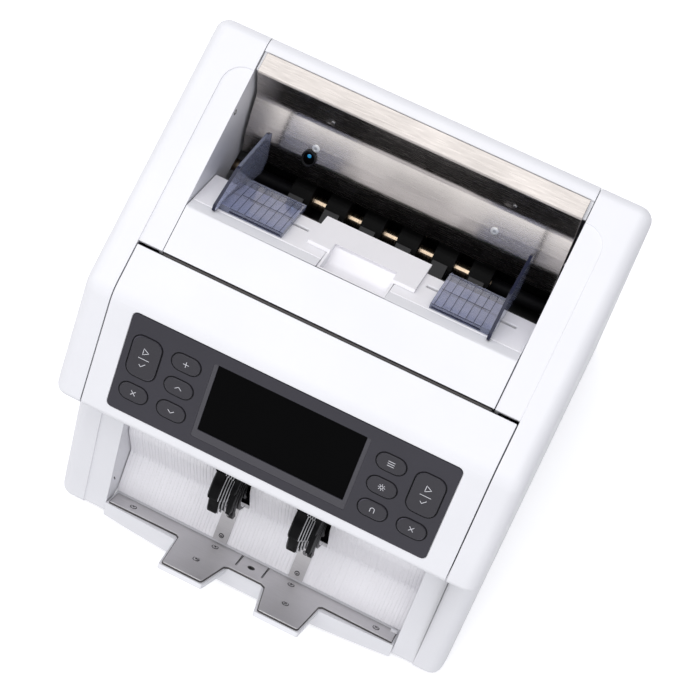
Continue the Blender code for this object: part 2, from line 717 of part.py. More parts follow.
def make_back_plate():
    path = rounded([(89.3, 177.0), (89.6, 179.5), (95.0, 193.0, 20.0), (101.6, 202.4, 20.0),
                    (112.2, 216.0, 10.0), (114.6, 240.2, 1.6), (127.6, 241.6)], 3, closed=False)
    plate = side_solid("hopper_back_plate", [thick_path(path[::-1], 1.2)], -105.2, 105.2, "steel")
    hole = rod("sensor_hole", 4.4, -5.0, 5.0, (0.0, 0.0), cutter=True)
    lens = turned("hopper_sensor", [(0.0, 1.0), (4.0, 1.0), (4.0, -6.0), (0.0, -6.0)], "glass", 20)
    for item in (hole, lens):
        item.rotation_euler = (SENSOR_TILT, 0.0, 0.0)
        item.location = Vector(SENSOR_PLACE) * MM
    cut(plate, hole)


def make_feed():
    rod("feed_shaft", SHAFT_RADIUS, -123.5, 118.0, FEED_AXIS, "brass")
    for i in range(6):
        middle = (i - 2.5) * FEED_PITCH
        roller = side_solid(f"feed_roller_{i + 1}", [circle(12.6, steps=28), circle(SHAFT_RADIUS + GAP, steps=20)],
                            -7.0, 7.0, "rubber")
        roller.matrix_world = Matrix.Translation(Vector((middle, *FEED_AXIS)) * MM) @ ACROSS
    pulley = side_solid("feed_pulley", [circle(14.0, steps=32), circle(SHAFT_RADIUS + GAP, steps=20)],
                        -2.5, 2.5, "black")
    pulley.matrix_world = Matrix.Translation(Vector((-119.5, *FEED_AXIS)) * MM) @ ACROSS
    comb = box("feed_comb", (-104.0, 66.0, 160.0), (104.0, 72.0, 168.0), "black")
    for i in range(6):
        middle = (i - 2.5) * FEED_PITCH
        finger = box(f"comb_finger_{i + 1}", (middle - 5.0, 68.0, 166.5), (middle + 5.0, 77.5, 177.5),
                     cutter=True)
        join(comb, finger)


# ------------------------------------------------------------ frame and drive
def belt_loop(first, first_radius, second, second_radius, steps=14):
    """Outline of a belt's path round two pulleys."""
    start, end = Vector(first), Vector(second)
    line = end - start
    bearing = math.atan2(line.y, line.x)
    spread = math.acos((first_radius - second_radius) / line.length)
    points = []
    for i in range(steps + 1):
        angle = bearing + spread + (2 * math.pi - 2 * spread) * i / steps
        points.append((start.x + first_radius * math.cos(angle), start.y + first_radius * math.sin(angle)))
    for i in range(steps + 1):
        angle = bearing - spread + 2 * spread * i / steps
        points.append((end.x + second_radius * math.cos(angle), end.y + second_radius * math.sin(angle)))
    return points


def make_belt(name, x_middle, first, first_radius, second, second_radius):
    inner = belt_loop(first, first_radius + GAP, second, second_radius + GAP)
    outer = belt_loop(first, first_radius + GAP + 1.5, second, second_radius + GAP + 1.5)
    side_solid(name, [outer, inner], x_middle - 2.0, x_middle + 2.0, "rubber")


def make_frames():
    outline = rounded([(129.5, 11.0, 4.0), (129.5, 168.0, 8.0), (60.0, 158.0, 6.0), (-10.0, 158.0, 8.0),
                       (-45.0, 111.0, 8.0), (-64.5, 86.0, 6.0), (-68.0, 60.0, 6.0), (-64.0, 11.0, 3.0)])
    holes = [circle(SHAFT_RADIUS + 0.5, FEED_AXIS, 20), circle(SHAFT_RADIUS + 0.5, STACKER_AXIS, 20)]
    motor_hole = circle(5.0, MOTOR_AXIS, 20)
    side_solid("left_frame", [outline, *holes, motor_hole], -113.5, -111.5, "sheet")
    side_solid("right_frame", [outline, *holes], 111.5, 113.5, "sheet")


def make_chassis():
    outline = rounded_rectangle(231.0, 184.0, 4.0, (0.0, 37.0))
    window = rounded_rectangle(90.0, 60.0, 4.0, (0.0, -5.0))
    flat_solid("chassis_floor", [outline, window], 8.9, 10.5, "sheet")


def make_motor():
    motor = side_solid("drive_motor", [circle(24.0, steps=32), circle(3.4, steps=16)], -20.0, 34.0, "black")
    motor.matrix_world = Matrix.Translation(Vector((-90.5, *MOTOR_AXIS)) * MM) @ ACROSS
    rotor = turned("motor_pulley", [(0.0, 64.0), (3.0, 64.0), (3.0, 12.6), (9.0, 12.6), (9.0, 0.0),
                                    (0.0, 0.0)], "sheet", 24)
    rotor.rotation_euler = (0.0, math.pi / 2, 0.0)
    rotor.location = Vector((-129.5, *MOTOR_AXIS)) * MM
    make_belt("feed_belt", -119.5, MOTOR_AXIS, 9.0, FEED_AXIS, 14.0)
    make_belt("stacker_belt", -125.5, MOTOR_AXIS, 9.0, STACKER_AXIS, 18.0)


def make_electrics():
    box("power_supply", (38.0, 62.0, 11.0), (100.0, 118.0, 24.0), "sheet", bevel=1.0)
    box("main_board", (-98.0, 96.0, 14.0), (20.0, 98.0, 110.0), "board")
    inlet = box("power_inlet", (57.0, 121.0, 27.0), (91.0, 141.5, 52.0), "black", bevel=1.2)
    socket = box("inlet_socket", (63.0, 130.0, 31.0), (85.0, 150.0, 47.0), cutter=True)
    cut(inlet, socket)
    profile = [(124.0, 33.0), (138.0, 31.0), (142.2, 32.4), (139.4, 39.5), (141.4, 46.6), (138.0, 48.0),
               (124.0, 46.0)]
    rocker = side_solid("power_switch", [profile], 30.2, 47.8, "black")
    set_origin(rocker, (39.0, 131.0, 39.5))


def build():
    panel_plane = new_empty("panel_plane", (0.0, *PANEL_START), (PANEL_SLOPE, 0.0, 0.0))
    tray_plane = new_empty("tray_plane", (0.0, *PLATE_FOOT), (TRAY_RISE, 0.0, math.pi))
    hang_on(MACHINE, panel_plane, tray_plane)
    make_bottom_cover()
    make_feet()
    make_chassis()
    make_frames()
    make_side_cover("left_side_cover", -1)
    make_side_cover("right_side_cover", 1)
    make_rear_cover()
    make_panel_housing(panel_plane)
    make_fascia(panel_plane)
    make_display(panel_plane)
    for name, x, row, size in key_layout():
        make_key(name, x, row, size, panel_plane)
    make_bay_plate()
    make_tray(tray_plane)
    make_steel_plate(tray_plane)
    make_guide_strips()
    make_stacker_drive()
    make_hopper_cover()
    make_centre_plate()
    make_note_guide("left", -91.0, -49.0, 7.0)
    make_note_guide("right", 85.5, 47.2, -1.0)
    rod("cover_hinge_pin", 0.75, -106.0, 106.0, HINGE_AXIS, "steel", steps=12)
    make_back_plate()
    make_feed()
    make_motor()
    make_electrics()
    MACHINE.location.y = CENTRE_SHIFT * MM


build()
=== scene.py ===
"""Looks of the banknote counting machine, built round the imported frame.

Frame: X runs across the machine, -Y is the operator's side, +Z is up. The frame is in metres;
points, widths and heights below are in millimetres unless a comment says otherwise.
"""
import json
import math

import bmesh
import bpy
from mathutils import Matrix, Vector


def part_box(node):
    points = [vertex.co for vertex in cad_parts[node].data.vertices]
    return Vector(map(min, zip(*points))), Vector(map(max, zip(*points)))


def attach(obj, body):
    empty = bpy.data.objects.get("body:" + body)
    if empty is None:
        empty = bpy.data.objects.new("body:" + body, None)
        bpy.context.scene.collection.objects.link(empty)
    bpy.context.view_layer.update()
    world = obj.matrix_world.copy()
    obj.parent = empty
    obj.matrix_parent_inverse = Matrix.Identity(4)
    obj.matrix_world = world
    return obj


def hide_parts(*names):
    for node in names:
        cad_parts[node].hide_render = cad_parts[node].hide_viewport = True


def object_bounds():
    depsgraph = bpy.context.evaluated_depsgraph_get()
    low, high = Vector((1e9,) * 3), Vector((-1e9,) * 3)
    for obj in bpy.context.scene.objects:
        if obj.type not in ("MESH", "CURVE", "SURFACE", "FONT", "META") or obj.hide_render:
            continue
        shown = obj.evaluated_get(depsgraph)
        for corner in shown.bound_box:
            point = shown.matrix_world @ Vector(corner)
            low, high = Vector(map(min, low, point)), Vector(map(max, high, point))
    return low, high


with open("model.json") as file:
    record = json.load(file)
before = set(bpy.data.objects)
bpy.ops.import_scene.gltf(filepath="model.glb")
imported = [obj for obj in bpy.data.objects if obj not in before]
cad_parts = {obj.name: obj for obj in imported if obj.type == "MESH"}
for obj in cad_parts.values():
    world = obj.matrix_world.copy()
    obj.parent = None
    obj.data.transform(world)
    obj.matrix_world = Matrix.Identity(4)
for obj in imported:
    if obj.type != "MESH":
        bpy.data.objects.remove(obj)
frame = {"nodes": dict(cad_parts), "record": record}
CAD_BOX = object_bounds()
NODES = frame["nodes"]
BODIES = frame["record"]["behaviour"]["bodies"]
BODY_OF = {node: body for body, members in BODIES.items() for node in members}
SLOT_OF = {entry["node"]: entry["material_slot"] for entry in frame["record"]["subparts"]}
KEYS = [node for node in NODES if node.startswith("key_")]
MM = 0.001
TURN = 2 * math.pi
SIDES = (("left", -1), ("right", 1))

# Directions used all over
UP = Vector((0.0, 0.0, 1.0))
DOWN = -UP
REARWARD = Vector((0.0, 1.0, 0.0))
FORWARD = -REARWARD
RIGHTWARD = Vector((1.0, 0.0, 0.0))
LEFTWARD = -RIGHTWARD

# The sloping key panel: its outward normal and its downhill direction
PANEL_SLOPE = math.radians(47.8)
PANEL_NORMAL = Vector((0.0, -math.sin(PANEL_SLOPE), math.cos(PANEL_SLOPE)))
PANEL_DOWNHILL = Vector((0.0, -math.cos(PANEL_SLOPE), -math.sin(PANEL_SLOPE)))

# The steel plate in front of the stack: its rise and its outward normal
TRAY_RISE = math.radians(50.4)
TRAY_UPHILL = Vector((0.0, -math.cos(TRAY_RISE), math.sin(TRAY_RISE)))
TRAY_NORMAL = Vector((0.0, math.sin(TRAY_RISE), math.cos(TRAY_RISE)))

# How far off a surface its rays start: over a sloping face, in front of the bay, and from
# outside the machine
NEAR_START = 30.0
BAY_START = 60.0
FAR_START = 300.0


# ------------------------------------------------------------------ materials
def add_node(tree, kind, place, inputs, **settings):
    """A shader node with its input values and its other settings."""
    node = tree.nodes.new(kind)
    node.location = place
    for key, value in settings.items():
        setattr(node, key, value)
    for key, value in inputs.items():
        node.inputs[key].default_value = value
    return node


def scaled(colour, factor):
    """A colour made lighter or darker, with its alpha."""
    return tuple(min(1.0, channel * factor) for channel in colour) + (1.0,)


def make_material(name, colour, roughness, metallic=0.0, grain=900.0, depth=0.02, mottle=0.03,
                  stretch=(1.0, 1.0, 1.0), spread=0.12, wear=0.0, rubbed_by=1.6, **shader_values):
    """A surface with moulded or brushed grain, uneven gloss, faint mottling and lightened edges.

    grain is in cells a metre and depth in millimetres; stretch squeezes the grain along each axis.
    mottle and spread are shares of the colour and roughness; the edge share is how far convex edges
    turn to the colour times the edge factor, for worn edges and, on the keys, a painted highlight.
    """
    material = bpy.data.materials.new(name)
    material.use_nodes = True
    tree = material.node_tree
    shader = tree.nodes["Principled BSDF"]
    shader.inputs["Metallic"].default_value = metallic
    for key, value in shader_values.items():
        shader.inputs[key.replace("_", " ")].default_value = value
    coords = add_node(tree, "ShaderNodeTexCoord", (-1300, 0), {})
    mapping = add_node(tree, "ShaderNodeMapping", (-1100, 0), {"Scale": stretch})
    tree.links.new(coords.outputs["Object"], mapping.inputs["Vector"])

    fine = add_node(tree, "ShaderNodeTexNoise", (-850, -350), {"Scale": grain, "Detail": 4.0})
    tree.links.new(mapping.outputs["Vector"], fine.inputs["Vector"])
    bump = add_node(tree, "ShaderNodeBump", (-300, -350), {"Strength": 0.6, "Distance": depth * MM})
    tree.links.new(fine.outputs["Fac"], bump.inputs["Height"])
    tree.links.new(bump.outputs["Normal"], shader.inputs["Normal"])

    gloss = add_node(tree, "ShaderNodeMapRange", (-550, -50), {
        "From Min": 0.3, "From Max": 0.7,
        "To Min": max(0.02, roughness * (1.0 - spread)),
        "To Max": min(1.0, roughness * (1.0 + spread))})
    tree.links.new(fine.outputs["Fac"], gloss.inputs["Value"])
    tree.links.new(gloss.outputs["Result"], shader.inputs["Roughness"])

    broad = add_node(tree, "ShaderNodeTexNoise", (-850, 250), {"Scale": 22.0, "Detail": 5.0})
    tree.links.new(coords.outputs["Object"], broad.inputs["Vector"])
    tint = add_node(tree, "ShaderNodeValToRGB", (-600, 250), {})
    dark, light = tint.color_ramp.elements
    dark.position, dark.color = 0.35, scaled(colour, 1.0 - mottle)
    light.position, light.color = 0.65, scaled(colour, 1.0 + mottle)
    tree.links.new(broad.outputs["Fac"], tint.inputs["Fac"])
    paint = tint.outputs["Color"]
    if wear:
        edges = add_node(tree, "ShaderNodeNewGeometry", (-850, 550), {})
        ridge = add_node(tree, "ShaderNodeMapRange", (-600, 550),
                         {"From Min": 0.53, "From Max": 0.62, "To Max": wear})
        tree.links.new(edges.outputs["Pointiness"], ridge.inputs["Value"])
        lightened_edges = add_node(tree, "ShaderNodeMix", (-250, 300), {}, data_type="RGBA")
        lightened_edges.inputs["B"].default_value = scaled(colour, rubbed_by)
        tree.links.new(ridge.outputs["Result"], lightened_edges.inputs["Factor"])
        tree.links.new(paint, lightened_edges.inputs["A"])
        paint = lightened_edges.outputs["Result"]
    tree.links.new(paint, shader.inputs["Base Color"])
    return material


BRUSHED = (0.03, 1.0, 1.0)
TURNED = (1.0, 0.05, 0.05)
FINISHES = {
    "white_shell": dict(colour=(0.735, 0.735, 0.765), roughness=0.42, grain=1500.0, depth=0.018,
                        mottle=0.012),
    "pale_plastic": dict(colour=(0.83, 0.82, 0.85), roughness=0.42, grain=1500.0, depth=0.014,
                         mottle=0.015),
    "charcoal_plastic": dict(colour=(0.023, 0.0215, 0.030), roughness=0.46, grain=2200.0,
                             depth=0.03, mottle=0.06, Specular_IOR_Level=0.35),
    # A little lighter than the fascia: painted light for the light that the display frame's sloping
    # band catches.
    "bezel_plastic": dict(colour=(0.038, 0.036, 0.045), roughness=0.5, grain=2200.0, depth=0.02,
                          mottle=0.05),
    # The keys' convex edges are lightened to 3.2 times their colour as a painted highlight.
    "key_plastic": dict(colour=(0.021, 0.0195, 0.026), roughness=0.38, grain=2500.0, depth=0.012,
                        mottle=0.05, wear=0.9, rubbed_by=3.2, Specular_IOR_Level=0.35),
    "black_plastic": dict(colour=(0.007, 0.007, 0.008), roughness=0.32, grain=700.0, depth=0.02,
                          mottle=0.15, wear=0.4, Specular_IOR_Level=0.22),
    "black_rubber": dict(colour=(0.005, 0.005, 0.005), roughness=0.7, grain=2600.0, depth=0.06,
                         mottle=0.15, Specular_IOR_Level=0.08),
    "vane_rubber": dict(colour=(0.0025, 0.0025, 0.003), roughness=0.3, grain=900.0, depth=0.03,
                        mottle=0.15, Specular_IOR_Level=0.06),
    # Light grey, painted as glints on the edges of the impellers' nested vanes.
    "painted_vane_glint": dict(colour=(0.40, 0.40, 0.42), roughness=0.25, grain=900.0, depth=0.02,
                     mottle=0.3),
    # Near black: dark sleeves and slit, and painted shade in the key gaps, round the screws and in
    # their recesses.
    "gap_black": dict(colour=(0.004, 0.004, 0.005), roughness=0.6, grain=1500.0, depth=0.01,
                      mottle=0.2, Specular_IOR_Level=0.1),
    "brushed_steel": dict(colour=(0.60, 0.59, 0.60), roughness=0.56, metallic=1.0, grain=3500.0,
                          depth=0.012, stretch=BRUSHED, mottle=0.04, spread=0.2),
    "polished_steel": dict(colour=(0.56, 0.525, 0.50), roughness=0.24, metallic=1.0, grain=2500.0,
                           depth=0.0025, stretch=BRUSHED, mottle=0.06, spread=0.25),
    # The lip's brushed finish, its colour darkened as painted shade against the overhead lamp's
    # reflection on its top.
    "lip_steel": dict(colour=(0.42, 0.39, 0.37), roughness=0.34, metallic=1.0, grain=2500.0,
                      depth=0.014, stretch=BRUSHED, mottle=0.10, spread=0.35),
    "zinc_sheet": dict(colour=(0.50, 0.51, 0.53), roughness=0.42, metallic=1.0, grain=300.0,
                       depth=0.01, mottle=0.12, spread=0.3),
    "brass_shaft": dict(colour=(0.56, 0.44, 0.32), roughness=0.30, metallic=1.0, grain=1800.0,
                        depth=0.008, stretch=TURNED, mottle=0.08, spread=0.3),
    "smoked_clear": dict(colour=(0.56, 0.60, 0.78), roughness=0.07, grain=300.0, depth=0.004,
                         mottle=0.02, Transmission_Weight=0.84, IOR=1.49),
    "display_glass": dict(colour=(0.001, 0.001, 0.0012), roughness=0.12, grain=250.0, depth=0.002,
                          mottle=0.1, Specular_IOR_Level=0.02),
    "green_board": dict(colour=(0.02, 0.13, 0.05), roughness=0.45, grain=1200.0, depth=0.02,
                        mottle=0.15),
    "smoke_edge": dict(colour=(0.012, 0.014, 0.034), roughness=0.15, grain=300.0, depth=0.004,
                       mottle=0.1, Specular_IOR_Level=0.25),
    "smoke_line": dict(colour=(0.025, 0.028, 0.06), roughness=0.2, grain=900.0, depth=0.004),
    "screw_steel": dict(colour=(0.52, 0.51, 0.52), roughness=0.35, metallic=1.0, grain=900.0,
                        depth=0.01, mottle=0.1),
    "bright_rivet": dict(colour=(0.66, 0.67, 0.70), roughness=0.35, metallic=0.5, grain=900.0,
                         depth=0.01, mottle=0.05),
    "print_grey": dict(colour=(0.62, 0.62, 0.66), roughness=0.55, grain=2500.0, depth=0.004),
    "seam_dark": dict(colour=(0.05, 0.045, 0.045), roughness=0.7, grain=1500.0, depth=0.01),
    # Blue, painted as a reflection on the sensor's lens.
    "painted_lens_reflection": dict(colour=(0.02, 0.30, 0.62), roughness=0.08, grain=900.0, depth=0.004,
                      mottle=0.5, Coat_Weight=1.0),
}
MATERIALS = {name: make_material(name, **finish) for name, finish in FINISHES.items()}

# ------------------------------------------------------------- mesh helpers
SMOOTH_ANGLE = math.radians(32.0)
BEVEL_ANGLE = math.radians(33.0)
FLAT_ANGLE = math.radians(0.5)
BEVEL_SEGMENTS = 2
ROUND_STEPS = 28
SMALL_ROUND_STEPS = 16
# Metres within which two vertices are one
SAME_PLACE = 1e-6


def box_mm(node):
    """A node's lowest and highest corners at rest, in millimetres."""
    return [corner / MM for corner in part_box(node)]


def add_object(name, data):
    """A new object, linked into the scene."""
    item = bpy.data.objects.new(name, data)
    bpy.context.scene.collection.objects.link(item)
    return item


def new_piece(name, mesh, material, body, second=None, matrix=None):
    """Link a finished mesh as a piece of the machine that moves with that body.

    second is the material of the faces that are marked 1, and matrix puts a piece that isn't yet
    in its place there.
    """
    piece = add_object(name, mesh)
    marks = [face.material_index for face in mesh.polygons]
    mesh.materials.clear()
    mesh.materials.append(MATERIALS[material])
    if second:
        mesh.materials.append(MATERIALS[second])
        mesh.polygons.foreach_set("material_index", marks)
    if matrix:
        piece.matrix_world = matrix
    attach(piece, body)
    return piece


def shade(mesh):
    """Smooth shading, apart from the sharp edges."""
    mesh.polygons.foreach_set("use_smooth", [True] * len(mesh.polygons))
    mesh.set_sharp_from_angle(angle=SMOOTH_ANGLE)


def mesh_from(shape, name):
    """Turn a finished bmesh into a shaded mesh."""
    mesh = bpy.data.meshes.new(name)
    shape.to_mesh(mesh)
    shape.free()
    shade(mesh)
    return mesh


def with_modifiers(blank, *spares):
    """The mesh that an object's modifiers make; the object and the spares are removed."""
    graph = bpy.context.evaluated_depsgraph_get()
    finished = bpy.data.meshes.new_from_object(blank.evaluated_get(graph))
    for spare in (blank, *spares):
        bpy.data.objects.remove(spare)
    return finished


def loft(shape, rings, closed=False):
    """Skin rings of vertices in order; open ones are left without ends."""
    faces = []
    pairs = list(zip(rings, rings[1:] + rings[:1]))
    for ring, following in pairs if closed else pairs[:-1]:
        for i in range(len(ring)):
            j = (i + 1) % len(ring)
            faces.append(shape.faces.new((ring[i], ring[j], following[j], following[i])))
    return faces


def refine(node, material=None, edge=0.35):
    """Replace a CAD node by its own shape with softly broken edges and smooth curves."""
    shape = bmesh.new()
    shape.from_mesh(NODES[node].data)
    bmesh.ops.remove_doubles(shape, verts=shape.verts, dist=SAME_PLACE)
    bmesh.ops.dissolve_limit(shape, angle_limit=FLAT_ANGLE, verts=shape.verts, edges=shape.edges)
    name = node + "_finish"
    blank = add_object(node + "_blank", mesh_from(shape, name))
    bevel = blank.modifiers.new("edges", "BEVEL")
    bevel.width = edge * MM
    bevel.segments = BEVEL_SEGMENTS
    bevel.limit_method = "ANGLE"
    bevel.angle_limit = BEVEL_ANGLE
    flatten = blank.modifiers.new("normals", "WEIGHTED_NORMAL")
    flatten.mode = "FACE_AREA"
    flatten.keep_sharp = True
    slot = SLOT_OF[node]
    piece = new_piece(name, with_modifiers(blank), material or slot, BODY_OF[node])
    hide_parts(node)
    return piece


def surface_hit(node, start, direction):
    """Where a ray meets a CAD node, and the normal there; None where it misses."""
    found, place, normal, _ = NODES[node].ray_cast(Vector(start) * MM, Vector(direction))
    return (place / MM, normal) if found else None


# Share of a strip's width that is left at its top, and how far it reaches into the surface
STRIP_TOP = 0.85
STRIP_SUNK = 0.15
# A strip whose ends are this close is a ring
RING_CLOSURE = 0.01


def lay_strip(shape, node, starts, direction, width, height):
    """Add raised strips that follow the node's surface where rays from the starts meet it."""
    run = []
    for hit in [surface_hit(node, start, direction) for start in starts] + [None]:
        if hit is not None:
            run.append(hit)
            continue
        if len(run) > 1:
            sweep_strip(shape, run, width, height)
        run = []


def sweep_strip(shape, run, width, height):
    """Add one strip along a run of (place, normal)."""
    closed = len(run) > 3 and (run[0][0] - run[-1][0]).length < RING_CLOSURE
    if closed:
        run = run[:-1]
    rings = []
    for i, (place, normal) in enumerate(run):
        ahead = run[(i + 1) % len(run)][0] if closed else run[min(i + 1, len(run) - 1)][0]
        behind = run[i - 1][0] if closed else run[max(i - 1, 0)][0]
        side = (ahead - behind).normalized().cross(normal).normalized() * width / 2
        corners = [place - side - normal * STRIP_SUNK, place - side * STRIP_TOP + normal * height,
                   place + side * STRIP_TOP + normal * height, place + side - normal * STRIP_SUNK]
        rings.append([shape.verts.new(corner * MM) for corner in corners])
    loft(shape, rings, closed)
    if not closed:
        shape.faces.new(rings[0][::-1])
        shape.faces.new(rings[-1])


def strip_piece(name, node, lines, direction, width, height, material):
    """One piece made of strips laid on a node along lines of ray starts."""
    shape = bmesh.new()
    for starts in lines:
        lay_strip(shape, node, starts, direction, width, height)
    bmesh.ops.recalc_face_normals(shape, faces=shape.faces)
    return new_piece(name, mesh_from(shape, name), material, BODY_OF[node])


def turned_mesh(name, profile, steps):
    """A shape turned round Z from (radius, height) points, listed from the axis."""
    shape = bmesh.new()
    verts = [shape.verts.new(Vector((radius, 0.0, height)) * MM) for radius, height in profile]
    edges = [shape.edges.new(pair) for pair in zip(verts, verts[1:])]
    bmesh.ops.spin(shape, geom=verts + edges, cent=(0, 0, 0), axis=(0, 0, 1), angle=TURN,
                   steps=steps)
    bmesh.ops.remove_doubles(shape, verts=shape.verts, dist=SAME_PLACE)
    bmesh.ops.recalc_face_normals(shape, faces=shape.faces)
    return mesh_from(shape, name)


def standing(place, direction, spin=0.0):
    """The matrix that turns a piece's Z to a direction and puts it at a place."""
    turn = Vector(direction).to_track_quat("Z", "Y").to_matrix().to_4x4()
    return Matrix.Translation(Vector(place) * MM) @ turn @ Matrix.Rotation(spin, 4, "Z")


def put_turned(name, profile, material, body, place, direction, steps=ROUND_STEPS):
    """A turned piece that stands at a place and points in a direction."""
    return new_piece(name, turned_mesh(name, profile, steps), material, body,
                     matrix=standing(place, direction))


def box_mesh(name, low, high, edge):
    """A block with softly broken edges."""
    shape = bmesh.new()
    low, high = Vector(low), Vector(high)
    bmesh.ops.create_cube(shape, size=1.0)
    bmesh.ops.scale(shape, verts=shape.verts, vec=(high - low) * MM)
    bmesh.ops.translate(shape, verts=shape.verts, vec=(high + low) / 2 * MM)
    bmesh.ops.bevel(shape, geom=shape.edges[:], offset=edge * MM, segments=BEVEL_SEGMENTS,
                    affect="EDGES", profile=0.5)
    return mesh_from(shape, name)


# A screw's seat ring, painted dark as the shadow round its head, its cross recess as shares of its
# radius, and where the recess ends below
SCREW_SEAT = 0.55
SCREW_SEAT_TOP = 0.04
RECESS_REACH = 0.68
RECESS_WIDTH = 0.17
RECESS_FLOOR = 0.12


def screw_mesh(radius):
    """A pan-head screw on a seat ring painted dark as its shadow, with its cross recess painted
    dark as shade, its head standing on Z = 0.
    """
    seat = radius + SCREW_SEAT
    head = turned_mesh("screw_head", [
        (0.0, -0.4), (seat, -0.4), (seat, SCREW_SEAT_TOP), (radius, SCREW_SEAT_TOP),
        (radius, 0.25), (radius * 0.86, 0.5), (radius * 0.5, 0.62), (0.0, 0.66)], 24)
    blank = add_object("screw_blank", head)
    wing, slot = radius * RECESS_REACH, radius * RECESS_WIDTH
    bits = []
    for x, y in ((wing, slot), (slot, wing)):
        bit = add_object("driver_bit", box_mesh("driver_bit", (-x, -y, RECESS_FLOOR),
                                                (x, y, 2.0), 0.05))
        recess = blank.modifiers.new("recess", "BOOLEAN")
        recess.solver = "EXACT"
        recess.object = bit
        bits.append(bit)
    bpy.context.view_layer.update()
    finished = with_modifiers(blank, *bits)
    shade(finished)
    # The recess and the ring round the head are marked 1 for the near-black material: painted
    # shade.
    for face in finished.polygons:
        x, y, z = face.center / MM
        off_axis = math.hypot(x, y)
        on_floor, on_wall = z < RECESS_FLOOR + 0.08, abs(face.normal.z) < 0.3
        in_recess = off_axis < wing and 0.0 < z and (on_floor or on_wall)
        if in_recess or (off_axis > radius and z > 0.0):
            face.material_index = 1
    return finished


SCREW = screw_mesh(1.9)
SMALL_SCREW = screw_mesh(1.3)


def put_screw(name, node, start, direction, mesh=SCREW, spin=0.4):
    """Stand a screw on a node where a ray meets it."""
    place, normal = surface_hit(node, start, direction)
    new_piece(name, mesh.copy(), "screw_steel", BODY_OF[node], second="gap_black",
              matrix=standing(place, normal, spin))


# ------------------------------------------------------------------ the case
# Millimetres taken off the edges: large covers, the tray's plate, keys, thin parts, the hinge pin
COVER_EDGE = 0.45
TRAY_PLATE_EDGE = 0.4
KEY_EDGE = 0.25
THIN_EDGE = 0.2
PIN_EDGE = 0.1
# The bent lip of the hopper's back plate starts here, and a guide's rim is no wider than this (m)
LIP_HEIGHT = 0.2385
RIM_WIDTH = 0.005


def repaint(mesh, material, wanted):
    """Give the faces of a finished mesh that are wanted a second material."""
    mesh.materials.append(MATERIALS[material])
    for face in mesh.polygons:
        if wanted(face):
            face.material_index = 1


def is_rim(mesh, face):
    """Whether a face is on the edge of a guide's blade."""
    across = [mesh.vertices[i].co.x for i in face.vertices]
    narrow = max(across) - min(across) < RIM_WIDTH
    return abs(face.normal.x) < 0.5 and narrow


def finish_nodes():
    """Refine or replace each CAD node that shows, and give the others their material."""
    for node in NODES:
        slot = SLOT_OF[node]
        if node in KEYS:
            refine(node, "key_plastic", KEY_EDGE)
        elif node == "hopper_back_plate":
            plate = refine(node, "polished_steel", THIN_EDGE).data
            # The lip's upward faces take that brushed finish, darkened as painted shade against the
            # lamp's reflection.
            repaint(plate, "lip_steel",
                    lambda face: face.center.z > LIP_HEIGHT and face.normal.z > 0.3)
        elif node.endswith("_note_guide"):
            guide = refine(node, edge=THIN_EDGE).data
            repaint(guide, "smoke_edge", lambda face: is_rim(guide, face))
        elif node == "cover_hinge_pin":
            refine(node, "seam_dark", PIN_EDGE)
        elif node.endswith("_impeller"):
            make_impeller(node)
        elif slot in ("white_shell", "pale_plastic"):
            refine(node, edge=COVER_EDGE)
        elif node == "stacker_steel_plate":
            refine(node, edge=TRAY_PLATE_EDGE)
        elif slot in ("charcoal_plastic", "brushed_steel", "smoked_clear"):
            refine(node, edge=THIN_EDGE)
        else:
            NODES[node].data.materials.clear()
            NODES[node].data.materials.append(MATERIALS[slot])
            shade(NODES[node].data)


def steps_between(low, high, pitch):
    """Even steps from low to high, about a pitch apart."""
    count = max(1, round((high - low) / pitch))
    return [low + (high - low) * i / count for i in range(count + 1)]


# ------------------------------------------------------------- stacker bay
RIB_PITCH = 2.4
RIB_WIDTH = RIB_PITCH * 0.72
RIB_HEIGHT = 0.32
# Moulding leaves the ribs slightly out of step
RIB_WANDER = 0.22
BAY_SIDE_MARGIN = 1.6


def make_ribs():
    """Fine upright ribs on the plate behind the stack."""
    low, high = box_mm("stacker_back_plate")
    heights = steps_between(low.z + 1.5, high.z - 0.5, 3.0)
    lines = []
    for i, x in enumerate(steps_between(low.x + BAY_SIDE_MARGIN, high.x - BAY_SIDE_MARGIN,
                                        RIB_PITCH)):
        shift = RIB_WANDER * math.sin(2.7 * i)
        lines.append([(x + shift, low.y - BAY_START, z) for z in heights])
    strip_piece("bay_ribs", "stacker_back_plate", lines, REARWARD, width=RIB_WIDTH,
                height=RIB_HEIGHT, material="pale_plastic")


# Screws on the steel plate: across, and up its slope from its foot
TRAY_SCREWS = ((28.5, 8.0), (-28.5, 8.0), (32.9, 33.1), (-32.9, 33.1), (-90.2, 8.7), (91.7, 8.7))
# Screws on a guide strip, measured from its front end, and where their rays start
STRIP_SCREWS = (3.5, 16.0)
STRIP_SCREW_START = 80.0
TRAY_PLUG_RISE = 11.2
TRAY_PLUG = ((0.0, -0.3), (3.0, -0.3), (3.0, 0.5), (1.6, 0.9), (1.2, 0.3), (0.0, 0.2))
# The small sensor on the plate's bar: from its right end, up its slope, and its own size
STACK_SENSOR_INSET = 2.0
STACK_SENSOR_RISE = 3.0
STACK_SENSOR_BOX = ((-2.4, -1.3, -0.4), (2.4, 1.3, 1.4))


def tray_start(x, rise):
    """Ray start over the steel plate, that far up its slope from its foot."""
    low, high = box_mm("stacker_steel_plate")
    return Vector((x, high.y, low.z)) + TRAY_UPHILL * rise + TRAY_NORMAL * NEAR_START


